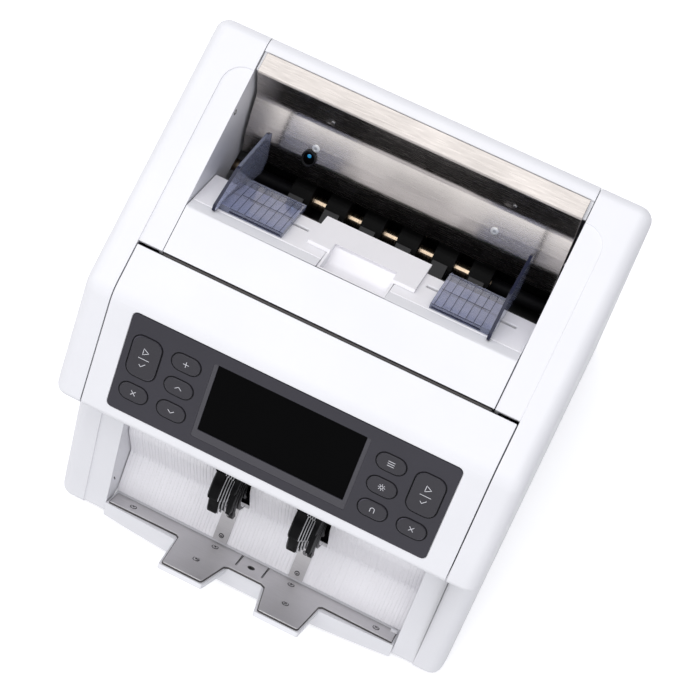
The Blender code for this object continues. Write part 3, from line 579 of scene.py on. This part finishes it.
def make_tray_fittings():
    """Screws, plug and sensor on the tray and its steel plate."""
    plate = "stacker_steel_plate"
    for i, (x, rise) in enumerate(TRAY_SCREWS):
        put_screw(f"tray_screw_{i + 1}", plate, tray_start(x, rise), -TRAY_NORMAL, spin=0.5 * i)
    for label, _ in SIDES:
        strip = f"{label}_guide_strip"
        low, high = box_mm(strip)
        middle = (low.x + high.x) / 2
        for i, from_front in enumerate(STRIP_SCREWS):
            put_screw(f"{label}_strip_screw_{i + 1}", strip,
                      (middle, low.y + from_front, STRIP_SCREW_START), DOWN, SMALL_SCREW,
                      spin=0.9 * i + 0.2)
    place, normal = surface_hit("stacker_tray", tray_start(0.0, TRAY_PLUG_RISE), -TRAY_NORMAL)
    put_turned("tray_plug", TRAY_PLUG, "black_plastic", BODY_OF["stacker_tray"], place, normal)
    sensor_x = box_mm(plate)[1].x - STACK_SENSOR_INSET
    place, normal = surface_hit(plate, tray_start(sensor_x, STACK_SENSOR_RISE), -TRAY_NORMAL)
    new_piece("stack_sensor", box_mesh("stack_sensor", *STACK_SENSOR_BOX, 0.4), "white_shell",
              BODY_OF[plate], matrix=standing(place, normal))


PLATE_JOINT = 0.4
PLATE_JOINT_DEPTH = 0.35


def make_plate_edge():
    """Dark joint round the steel plate, just below its surface."""
    shape = bmesh.new()
    shape.from_mesh(NODES["stacker_steel_plate"].data)
    bmesh.ops.remove_doubles(shape, verts=shape.verts, dist=SAME_PLACE)
    shape.normal_update()
    for vert in shape.verts:
        walls = [face.normal for face in vert.link_faces
                 if abs(face.normal.dot(TRAY_NORMAL)) < 0.5]
        out = sum(walls, Vector())
        out -= TRAY_NORMAL * out.dot(TRAY_NORMAL)
        if out.length > 0.01:
            vert.co += out.normalized() * PLATE_JOINT * MM
        vert.co -= TRAY_NORMAL * PLATE_JOINT_DEPTH * MM
    new_piece("plate_joint", mesh_from(shape, "plate_joint"), "seam_dark",
              BODY_OF["stacker_steel_plate"])


VANES = 12
VANE_THICKNESS = 1.5
VANE_STEPS = 9
# How a vane's sweep grows from the hub outwards
VANE_CURL = 1.2
HUB_RADIUS = 11.0
STUB = ((0.0, 0.0), (3.4, 0.0), (3.4, 2.6), (2.4, 3.2), (0.0, 3.2))
# Rows of vanes across a wheel: material, sweep in degrees, phase as a share of the pitch, and
# (share of the width, millimetres short of the full radius) from one side to the other
# The light grey rows are painted glints on the edges of nested vanes.
VANE_ROWS = (
    ("vane_rubber", 95.0, 0.0, ((0.0, 3.4), (0.03, 1.4), (0.08, 0.0), (0.40, 0.0), (0.44, 1.0))),
    ("painted_vane_glint", 92.0, 0.12, ((0.45, 0.6), (0.48, 0.6))),
    ("vane_rubber", 91.0, 0.18, ((0.485, 2.4), (0.53, 2.4))),
    ("painted_vane_glint", 90.0, 0.24, ((0.535, 2.2), (0.565, 2.2))),
    ("vane_rubber", 89.0, 0.30, ((0.57, 4.0), (0.61, 4.0))),
    ("painted_vane_glint", 88.0, 0.36, ((0.615, 3.8), (0.645, 3.8))),
    ("vane_rubber", 87.0, 0.42, ((0.65, 5.6), (0.69, 5.6))),
    ("painted_vane_glint", 86.0, 0.48, ((0.695, 5.4), (0.725, 5.4))),
    ("vane_rubber", 85.0, 0.54, ((0.73, 6.6), (0.77, 6.6))),
    ("vane_rubber", 92.0, 0.62, ((0.775, 3.0), (0.80, 1.0), (0.96, 1.0), (1.0, 3.4))))


def vane_outline(radius, phase, sweep):
    """Outline of a wheel of vanes that sweep back from the hub."""
    points = []
    for k in range(VANES):
        base = phase + TURN * k / VANES
        front, back = [], []
        for i in range(VANE_STEPS + 1):
            share = i / VANE_STEPS
            reach = HUB_RADIUS + (radius - HUB_RADIUS) * share
            angle = base + math.radians(sweep) * share ** VANE_CURL
            for row, turn in ((front, 0.0), (back, VANE_THICKNESS / reach)):
                row.append((reach * math.cos(angle + turn), reach * math.sin(angle + turn)))
        points += front + back[::-1]
    return points


def make_impeller(node):
    """A stacking wheel of soft vanes: two wide rows with thin rows between them, some of them light
    grey as painted glints on the vane edges.
    """
    low, high = box_mm(node)
    axis_y, axis_z = (low.y + high.y) / 2, (low.z + high.z) / 2
    reach = (high.z - low.z) / 2
    shape = bmesh.new()
    for material, sweep, phase, stations in VANE_ROWS:
        rings = []
        for share, short in stations:
            x = low.x + (high.x - low.x) * share
            outline = vane_outline(reach - short, phase * TURN / VANES, sweep)
            rings.append([shape.verts.new(Vector((x, axis_y + u, axis_z + v)) * MM)
                          for u, v in outline])
        faces = [shape.faces.new(rings[0]), shape.faces.new(rings[-1])] + loft(shape, rings)
        for face in faces:
            face.material_index = int(material == "painted_vane_glint")
    bmesh.ops.recalc_face_normals(shape, faces=shape.faces)
    bmesh.ops.triangulate(shape, faces=[face for face in shape.faces if len(face.verts) > 4])
    name = node + "_finish"
    piece = new_piece(name, mesh_from(shape, name), "vane_rubber", BODY_OF[node],
                      "painted_vane_glint")
    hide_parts(node)
    put_turned(node + "_stub", STUB, "pale_plastic", BODY_OF[node], (low.x, axis_y, axis_z),
               LEFTWARD, 20)


# ------------------------------------------------------------ keys and display
def arc(centre, radius, first, last, steps=14):
    """Points along an arc between two angles."""
    angles = (first + (last - first) * i / steps for i in range(steps + 1))
    return [(centre[0] + radius * math.cos(a), centre[1] + radius * math.sin(a)) for a in angles]


def rays(inner, outer, count):
    """Short strokes round the origin, as on a sign for a lamp."""
    angles = (TURN * i / count for i in range(count))
    return [[(radius * math.cos(a), radius * math.sin(a)) for radius in (inner, outer)]
            for a in angles]


# Strokes of each sign, as (across, up) points round the middle of the key
SYMBOLS = {
    "start": [[(-1.5, 2.2), (-1.5, 6.6), (2.1, 4.4), (-1.5, 2.2)], [(-3.6, -0.6), (3.6, -0.6)],
              [(-1.9, -4.9), (-0.6, -6.2), (2.0, -3.5)]],
    "clear": [[(-1.5, -1.5), (1.5, 1.5)], [(-1.5, 1.5), (1.5, -1.5)]],
    "add": [[(-1.9, 0.0), (1.9, 0.0)], [(0.0, -1.9), (0.0, 1.9)]],
    "up": [[(-2.1, -0.8), (0.0, 0.9), (2.1, -0.8)]],
    "down": [[(-2.1, 0.8), (0.0, -0.9), (2.1, 0.8)]],
    "batch": [[(-2.2, y), (2.2, y)] for y in (-1.5, 0.0, 1.5)],
    "uv": [arc((0.0, 0.0), 1.0, 0.0, TURN), *rays(1.5, 2.3, 8)],
    "mg": [[(-1.3, -1.7), *arc((0.0, 0.3), 1.3, math.pi, 0.0), (1.3, -1.7)]],
}
STROKE_PARTS = 3


def panel_start(node, x, up):
    """Ray start over the panel, across and up it from the middle of a node there."""
    low, high = box_mm(node)
    middle = (low + high) / 2 + PANEL_NORMAL * NEAR_START
    return middle + RIGHTWARD * x - PANEL_DOWNHILL * up


def make_symbols():
    """Plain raised signs on the keys."""
    for node in KEYS:
        lines = []
        for stroke in SYMBOLS[node.split("_")[1]]:
            dense = []
            for (x0, y0), (x1, y1) in zip(stroke, stroke[1:]):
                dense += [(x0 + (x1 - x0) * t / STROKE_PARTS, y0 + (y1 - y0) * t / STROKE_PARTS)
                          for t in range(STROKE_PARTS)]
            dense.append(stroke[-1])
            lines.append([panel_start(node, x, y) for x, y in dense])
        strip_piece(f"sign_{node}", node, lines, -PANEL_NORMAL, width=0.42, height=0.05,
                    material="print_grey")


KEY_GAP = 0.55
# Width and height of a key, and the radius of its corners
START_KEY = (19.0, 28.2, 6.0)
SMALL_KEY = (18.5, 11.2, 5.5)


def rounded_path(half_width, half_height, radius, steps=5):
    """Closed rounded rectangle round the origin."""
    points = []
    for quarter, (sx, sy) in enumerate(((1, 1), (-1, 1), (-1, -1), (1, -1))):
        centre = (sx * (half_width - radius), sy * (half_height - radius))
        points += arc(centre, radius, quarter * TURN / 4, (quarter + 1) * TURN / 4, steps)
    return points + points[:1]


def make_key_gaps():
    """Black line round each key on the fascia, painted as the shade in the gap where the key drops
    into it.
    """
    for node in KEYS:
        width, height, radius = START_KEY if "start" in node else SMALL_KEY
        ring = rounded_path(width / 2 + KEY_GAP, height / 2 + KEY_GAP, radius + KEY_GAP)
        starts = [panel_start(node, x, y) for x, y in ring]
        strip_piece(f"gap_{node}", "control_fascia", [starts], -PANEL_NORMAL, width=KEY_GAP,
                    height=0.03, material="gap_black")


# The display's frame, measured from the window's middle: how far out the fascia lies, how far
# downhill the frame starts, and where its back is from the fascia. Then for its outer and inner
# edge: half the width, how far downhill the foot is, corner radius and height over the fascia
BEZEL_LIFT = 1.325
BEZEL_TOP = -23.7
BEZEL_BASE = -0.54
BEZEL_EDGES = ((51.1, 29.6, 1.4, 0.12), (48.55, 24.1, 0.4, -0.42))
BEZEL_CORNER_STEPS = 4


def bezel_rail(side, foot, radius):
    """Path down the left side, along the foot and up the right side, as (across, downhill)."""
    turns = [TURN / 4 * k / BEZEL_CORNER_STEPS for k in range(BEZEL_CORNER_STEPS + 1)]
    rail = [(-side, BEZEL_TOP)]
    for flip, angles in ((-1, turns), (1, turns[::-1])):
        rail += [(flip * (side - radius + radius * math.cos(angle)),
                  foot - radius + radius * math.sin(angle)) for angle in angles]
    return rail + [(side, BEZEL_TOP)]


def make_bezel():
    """Sloping frame beside and below the display, from the fascia down to the glass."""
    low, high = box_mm("display_window")
    middle = (low + high) / 2 + PANEL_NORMAL * BEZEL_LIFT
    shape = bmesh.new()
    rails = []
    for side, foot, radius, height in BEZEL_EDGES:
        rails.append([[shape.verts.new((middle + RIGHTWARD * x + PANEL_DOWNHILL * s
                                        + PANEL_NORMAL * h) * MM) for h in (height, BEZEL_BASE)]
                      for x, s in bezel_rail(side, foot, radius)])
    rings = [(outer[0], inner[0], inner[1], outer[1]) for outer, inner in zip(*rails)]
    loft(shape, rings)
    shape.faces.new(rings[0])
    shape.faces.new(rings[-1])
    bmesh.ops.recalc_face_normals(shape, faces=shape.faces)
    # The frame's lighter plastic is painted light on its sloping band.
    new_piece("display_bezel", mesh_from(shape, "display_bezel"), "bezel_plastic", "case")


# ------------------------------------------------------------------- hopper
# Lines in a note guide's foot, measured outwards from its inner edge or inwards from its outer
FOOT_INNER_MARGIN = 1.2
FOOT_OUTER_MARGIN = 9.0
FIRST_MARK = 2.2
MARK_PITCH = 5.0
FOOT_PROBE = 6.0
FRONT_LINE_INSET = 2.0
REAR_LINE_INSET = 1.5
FRONT_EDGE_INSET = 0.7


def make_graduations():
    """The frame, cross lines and dark front edge moulded into each note guide's foot."""
    for label, side in SIDES:
        node = f"{label}_note_guide"
        low, high = box_mm(node)
        inner, outer = (high.x, low.x) if side < 0 else (low.x, high.x)
        last = outer - side * FOOT_OUTER_MARGIN
        across = steps_between(*sorted((inner + side * FOOT_INNER_MARGIN, last)), 4.0)
        marks = steps_between(*sorted((inner + side * FIRST_MARK, last)), MARK_PITCH)
        depths = [y for y in steps_between(low.y, high.y, 0.25)
                  if surface_hit(node, (inner + side * FOOT_PROBE, y, FAR_START), DOWN)]
        front, rear = depths[0] + FRONT_LINE_INSET, depths[-1] - REAR_LINE_INSET
        lines = [[(x, y, FAR_START) for x in across] for y in (front, (front + rear) / 2, rear)]
        lines += [[(x, y, FAR_START) for y in steps_between(front, rear, 1.5)] for x in marks]
        strip_piece(f"{label}_graduations", node, lines, DOWN, width=0.42, height=0.14,
                    material="smoke_line")
        edge = [[(x, depths[0] + FRONT_EDGE_INSET, FAR_START) for x in across]]
        strip_piece(f"{label}_foot_edge", node, edge, DOWN, width=1.2, height=0.12,
                    material="smoke_edge")


# Fittings of the hopper: ray starts, and profiles of turned pieces
WALL_SLIT = [(-60.0, -101.0, z) for z in (26.0, 29.0, 32.0)]
RIVET_STARTS = ((-59.8, 60.0, 202.0), (59.8, 60.0, 202.0))
RIVET_CORE = ((0.0, 0.2), (1.1, 0.2), (1.0, 0.55), (0.0, 0.6))
RIVET = ((0.0, -0.4), (2.5, -0.4), (2.5, 0.5), (2.0, 0.8), (1.3, 0.8), (1.1, 0.3), (0.0, 0.25))
PLATE_SCREW_STARTS = ((-53.9, 60.0, 222.3), (65.7, 60.0, 222.3))
WALL_SCREW_START = (60.0, 92.2, 227.7)
# The sensor in the back plate: a ray down its axis, its ring, a blue disc above painted as the
# lens's reflection, and the dark lens below
SENSOR_RAY = Vector((0.0, 0.819, -0.574))
SENSOR_START = Vector((0.0, -24.6, 17.2))
SENSOR_RING = ((3.9, -0.6), (5.2, -0.6), (5.2, 0.35), (4.6, 0.6), (3.9, 0.35), (3.9, -0.6))
SENSOR_OVAL = (0.92, 1.12, 1.0, 1.0)
SENSOR_LENS_AND_GLINT = (("sensor_blue_glint", 1.3, "painted_lens_reflection", 1.9), ("sensor_lens", 1.5, "display_glass", -1.6))


def make_hopper_fittings():
    """Slit, rivets, sensor and screws of the hopper."""
    plate = "hopper_back_plate"
    strip_piece("wall_slit", "left_side_cover", [WALL_SLIT], LEFTWARD, width=1.1, height=0.04,
                material="gap_black")
    for i, start in enumerate(RIVET_STARTS):
        place, normal = surface_hit(plate, start, REARWARD)
        put_turned(f"rivet_core_{i + 1}", RIVET_CORE, "zinc_sheet", "case", place, normal,
                   SMALL_ROUND_STEPS)
        put_turned(f"plate_rivet_{i + 1}", RIVET, "bright_rivet", "case", place, normal)
    low, high = box_mm("hopper_sensor")
    place, normal = surface_hit("hopper_sensor", (low + high) / 2 + SENSOR_START, SENSOR_RAY)
    new_piece("sensor_ring", turned_mesh("sensor_ring", SENSOR_RING, ROUND_STEPS),
              "black_plastic", "case",
              matrix=standing(place, normal) @ Matrix.Diagonal(SENSOR_OVAL))
    rise = normal.cross(RIGHTWARD).normalized()
    # A blue disc above is the painted reflection on the lens; the dark lens sits below.
    for name, radius, material, above in SENSOR_LENS_AND_GLINT:
        profile = ((0.0, -0.2), (radius, -0.2), (radius, 0.1), (0.0, 0.35))
        put_turned(name, profile, material, "case", place + rise * above, normal,
                   SMALL_ROUND_STEPS)
    for i, start in enumerate(PLATE_SCREW_STARTS):
        put_screw(f"plate_screw_{i + 1}", plate, start, REARWARD, SMALL_SCREW)
    x, y, z = WALL_SCREW_START
    for label, side in SIDES:
        put_screw(f"wall_screw_{label}", f"{label}_side_cover", (side * x, y, z),
                  RIGHTWARD * side, SMALL_SCREW)


SLEEVE_END = 106.9
SLEEVE_WALL = 0.5
SLEEVE_GAP = 0.2
SLEEVE_EDGE = 0.3


def make_shaft_sleeves():
    """Dark sleeves on both ends of the feed shaft, outside the rollers."""
    low, high = box_mm("feed_shaft")
    axis_y, axis_z, radius = (low.y + high.y) / 2, (low.z + high.z) / 2, (high.z - low.z) / 2
    rollers = [box_mm(node) for node in NODES if node.startswith("feed_roller")]
    first, last = min(low.x for low, _ in rollers), max(high.x for _, high in rollers)
    outside = radius + SLEEVE_WALL
    for name, start, end in (("sleeve_left", -SLEEVE_END, first - SLEEVE_GAP),
                             ("sleeve_right", last + SLEEVE_GAP, SLEEVE_END)):
        length = end - start
        profile = ((radius, 0.0), (outside, SLEEVE_EDGE), (outside, length - SLEEVE_EDGE),
                   (radius, length))
        put_turned(name, profile, "gap_black", BODY_OF["feed_shaft"], (start, axis_y, axis_z),
                   RIGHTWARD)


SHEET_HALF_WIDTH = 106.5
SHEET_THICKNESS = 1.0
RIB_SPACING = 24.0
# A rib's section: across it, and share of its height
RIB_SECTION = ((-2.2, 0.0), (-1.2, 1.0), (1.2, 1.0), (2.2, 0.0))
NOTE_RIB_HEIGHT = 1.4
# Path of the black sheet under the feed rollers, painted shade inside the throat.
THROAT_SHADE_PATH = ((64.0, 186.0), (66.0, 158.0), (70.0, 142.0), (84.0, 134.5), (100.0, 138.0),
              (110.0, 150.0), (114.0, 172.0))
NOTE_PATH = ((-81.0, 129.0), (-60.0, 134.0), (0.0, 146.0), (52.0, 154.5), (63.0, 159.0))


def bent_sheet(name, path, material, rib_height):
    """A sheet bent along (y, z) points, with raised ribs that run along the path."""
    stations = [(-SHEET_HALF_WIDTH, 0.0)]
    rib_count = int(2 * SHEET_HALF_WIDTH / RIB_SPACING)
    for i in range(rib_count):
        middle = (i - (rib_count - 1) / 2) * RIB_SPACING
        stations += [(middle + x, share * rib_height) for x, share in RIB_SECTION]
    stations.append((SHEET_HALF_WIDTH, 0.0))
    shape = bmesh.new()
    rows = [[shape.verts.new(Vector((x, y, z + lift)) * MM) for y, z in path]
            for x, lift in stations]
    for row, following in zip(rows, rows[1:]):
        for i in range(len(path) - 1):
            shape.faces.new((row[i], row[i + 1], following[i + 1], following[i]))
    bmesh.ops.solidify(shape, geom=shape.faces[:], thickness=SHEET_THICKNESS * MM)
    bmesh.ops.recalc_face_normals(shape, faces=shape.faces)
    new_piece(name, mesh_from(shape, name), material, "case")


def make_sheets():
    """Black sheet under the feed rollers as painted shade inside the throat, and the plate over the
    note path to the stacker.
    """
    bent_sheet("feed_throat_shade", THROAT_SHADE_PATH, "black_plastic", 0.0)
    bent_sheet("note_path_plate", NOTE_PATH, "zinc_sheet", NOTE_RIB_HEIGHT)


# --------------------------------------------------------------------- rear
# Pins in the inlet: (x, z) from its middle, half sizes, and how far behind its mouth they run
INLET_PINS = ((-6.5, -1.5), (0.0, 2.5), (6.5, -1.5))
PIN_HALF_WIDTH, PIN_HALF_HEIGHT = 1.0, 2.4
PIN_ROOT, PIN_TIP = 12.0, 3.0
# Screws in the rear cover: from its sides, from its foot, and the height of the upper two
REAR_SCREW_INSET = 9.0
REAR_SCREW_RISE = 14.0
REAR_SCREW_TOP = 200.0
# Plate and screen as (x, z) corners, then as depths behind (-) or proud of the rear cover
RATING_PLATE = ((-70.0, 34.0), (-14.0, 62.0), -0.1, 0.2)
VENT_SCREEN = ((-66.0, 114.0), (66.0, 194.0), -5.0, -4.0)
# The rocker's signs: a bar above its middle, and a ring below it
SWITCH_BAR = (3.2, 4.4, 5.8)
SWITCH_RING_DROP = 4.4
SWITCH_RING_RADIUS = 1.5


def rear_block(name, block, rear, edge, material):
    """A thin block on or behind the rear cover's outer face, which is at y = rear."""
    (x0, z0), (x1, z1), inside, outside = block
    mesh = box_mesh(name, (x0, rear + inside, z0), (x1, rear + outside, z1), edge)
    new_piece(name, mesh, material, "case")


def make_rear_fittings():
    """Inlet pins, screws, blank rating plate, screen behind the vents and signs on the switch."""
    low, high = box_mm("power_inlet")
    middle = (low + high) / 2
    for i, (dx, dz) in enumerate(INLET_PINS):
        x, z = middle.x + dx, middle.z + dz
        blade = box_mesh(f"inlet_pin_{i + 1}",
                         (x - PIN_HALF_WIDTH, high.y - PIN_ROOT, z - PIN_HALF_HEIGHT),
                         (x + PIN_HALF_WIDTH, high.y - PIN_TIP, z + PIN_HALF_HEIGHT), 0.3)
        new_piece(f"inlet_pin_{i + 1}", blade, "zinc_sheet", "case")
    low, high = box_mm("rear_cover")
    spots = [(x, z) for x in (low.x + REAR_SCREW_INSET, high.x - REAR_SCREW_INSET)
             for z in (low.z + REAR_SCREW_RISE, REAR_SCREW_TOP)]
    for i, (x, z) in enumerate(spots):
        put_screw(f"rear_screw_{i + 1}", "rear_cover", (x, FAR_START, z), FORWARD, spin=0.7 * i)
    rear_block("blank_rating_plate", RATING_PLATE, high.y, 0.08, "zinc_sheet")
    rear_block("vent_screen", VENT_SCREEN, high.y, 0.3, "black_rubber")
    low, high = box_mm("power_switch")
    start = (low + high) / 2 + REARWARD * NEAR_START
    bar = [start + UP * z for z in SWITCH_BAR]
    ring = [start + Vector((x, 0.0, z - SWITCH_RING_DROP))
            for x, z in arc((0.0, 0.0), SWITCH_RING_RADIUS, 0.0, TURN)]
    for i, line in enumerate((bar, ring)):
        strip_piece(f"switch_sign_{i + 1}", "power_switch", [line], FORWARD, width=0.45,
                    height=0.06, material="print_grey")


# ------------------------------------------------------------ floor and light
# Metres: half the floor's width, and how far it lies below the feet
FLOOR_REACH = 6.0
FLOOR_DROP = 0.0002


def make_floor():
    """Plain pale floor that doesn't light the machine from below."""
    shape = bmesh.new()
    bmesh.ops.create_grid(shape, x_segments=2, y_segments=2, size=FLOOR_REACH)
    floor = add_object("floor", mesh_from(shape, "floor"))
    floor.location.z = CAD_BOX[0][2] - FLOOR_DROP
    floor.data.materials.append(make_material(
        "floor_white", (0.93, 0.93, 0.94), 0.8, grain=30.0, depth=0.01, mottle=0.002,
        Emission_Color=(1.0, 1.0, 1.0, 1.0), Emission_Strength=0.28))
    floor.visible_diffuse = False


# Soft lights: place, target and size in metres, power in watts, colour
WHITE = (1.0, 1.0, 1.0)
MIDDLE = (0.0, 0.0, 0.12)
LIGHTS = (
    ("overhead_light", (-0.2, -0.1, 2.4), MIDDLE, (2.6, 2.6), 44.0, WHITE),
    ("left_light", (-1.7, -0.2, 1.0), MIDDLE, (1.2, 1.2), 8.0, WHITE),
    ("right_light", (1.6, -0.9, 0.9), MIDDLE, (1.2, 1.2), 5.0, (0.95, 0.96, 1.0)),
    ("rear_light", (-0.5, 1.9, 0.35), MIDDLE, (1.2, 0.6), 3.5, WHITE),
    ("front_light", (0.2, -1.9, 0.75), (0.0, -0.05, 0.06), (2.2, 1.2), 10.0, WHITE),
)
SKY_COLOUR = (0.94, 0.95, 1.0, 1.0)
SKY_STRENGTH = 0.44


def make_lights():
    """Soft studio light from a pale sky and five large lamps."""
    scene = bpy.context.scene
    scene.view_settings.view_transform = "Standard"
    scene.world = bpy.data.worlds.new("studio")
    scene.world.use_nodes = True
    sky = scene.world.node_tree.nodes["Background"]
    sky.inputs["Color"].default_value = SKY_COLOUR
    sky.inputs["Strength"].default_value = SKY_STRENGTH
    for name, place, target, size, power, colour in LIGHTS:
        lamp = bpy.data.lights.new(name, "AREA")
        lamp.shape = "RECTANGLE"
        lamp.size, lamp.size_y = size
        lamp.energy = power
        lamp.color = colour
        item = add_object(name, lamp)
        item.location = place
        aim = Vector(target) - Vector(place)
        item.rotation_euler = aim.to_track_quat("-Z", "Y").to_euler()


# The photograph's viewing angle: place in metres, axes, and lens in millimetres
CAMERA_PLACE = (0.1528, -0.3092, 1.2049)
CAMERA_RIGHT = (0.8950, 0.4458, 0.0142)
CAMERA_UP = (-0.4269, 0.8469, 0.3172)
CAMERA_BACK = (0.1293, -0.2899, 0.9483)
LENS = 93.2
SENSOR_WIDTH = 36.0


def make_camera():
    """The camera at the photograph's viewing angle."""
    lens = bpy.data.cameras.new("camera")
    lens.lens = LENS
    lens.sensor_width = SENSOR_WIDTH
    camera = add_object("camera", lens)
    turn = Matrix((CAMERA_RIGHT, CAMERA_UP, CAMERA_BACK)).transposed().to_4x4()
    camera.matrix_world = Matrix.Translation(CAMERA_PLACE) @ turn
    bpy.context.scene.camera = camera


make_ribs()
make_tray_fittings()
make_plate_edge()
make_symbols()
make_key_gaps()
make_bezel()
make_graduations()
make_hopper_fittings()
make_shaft_sleeves()
make_sheets()
make_rear_fittings()
finish_nodes()
make_floor()
make_lights()
make_camera()
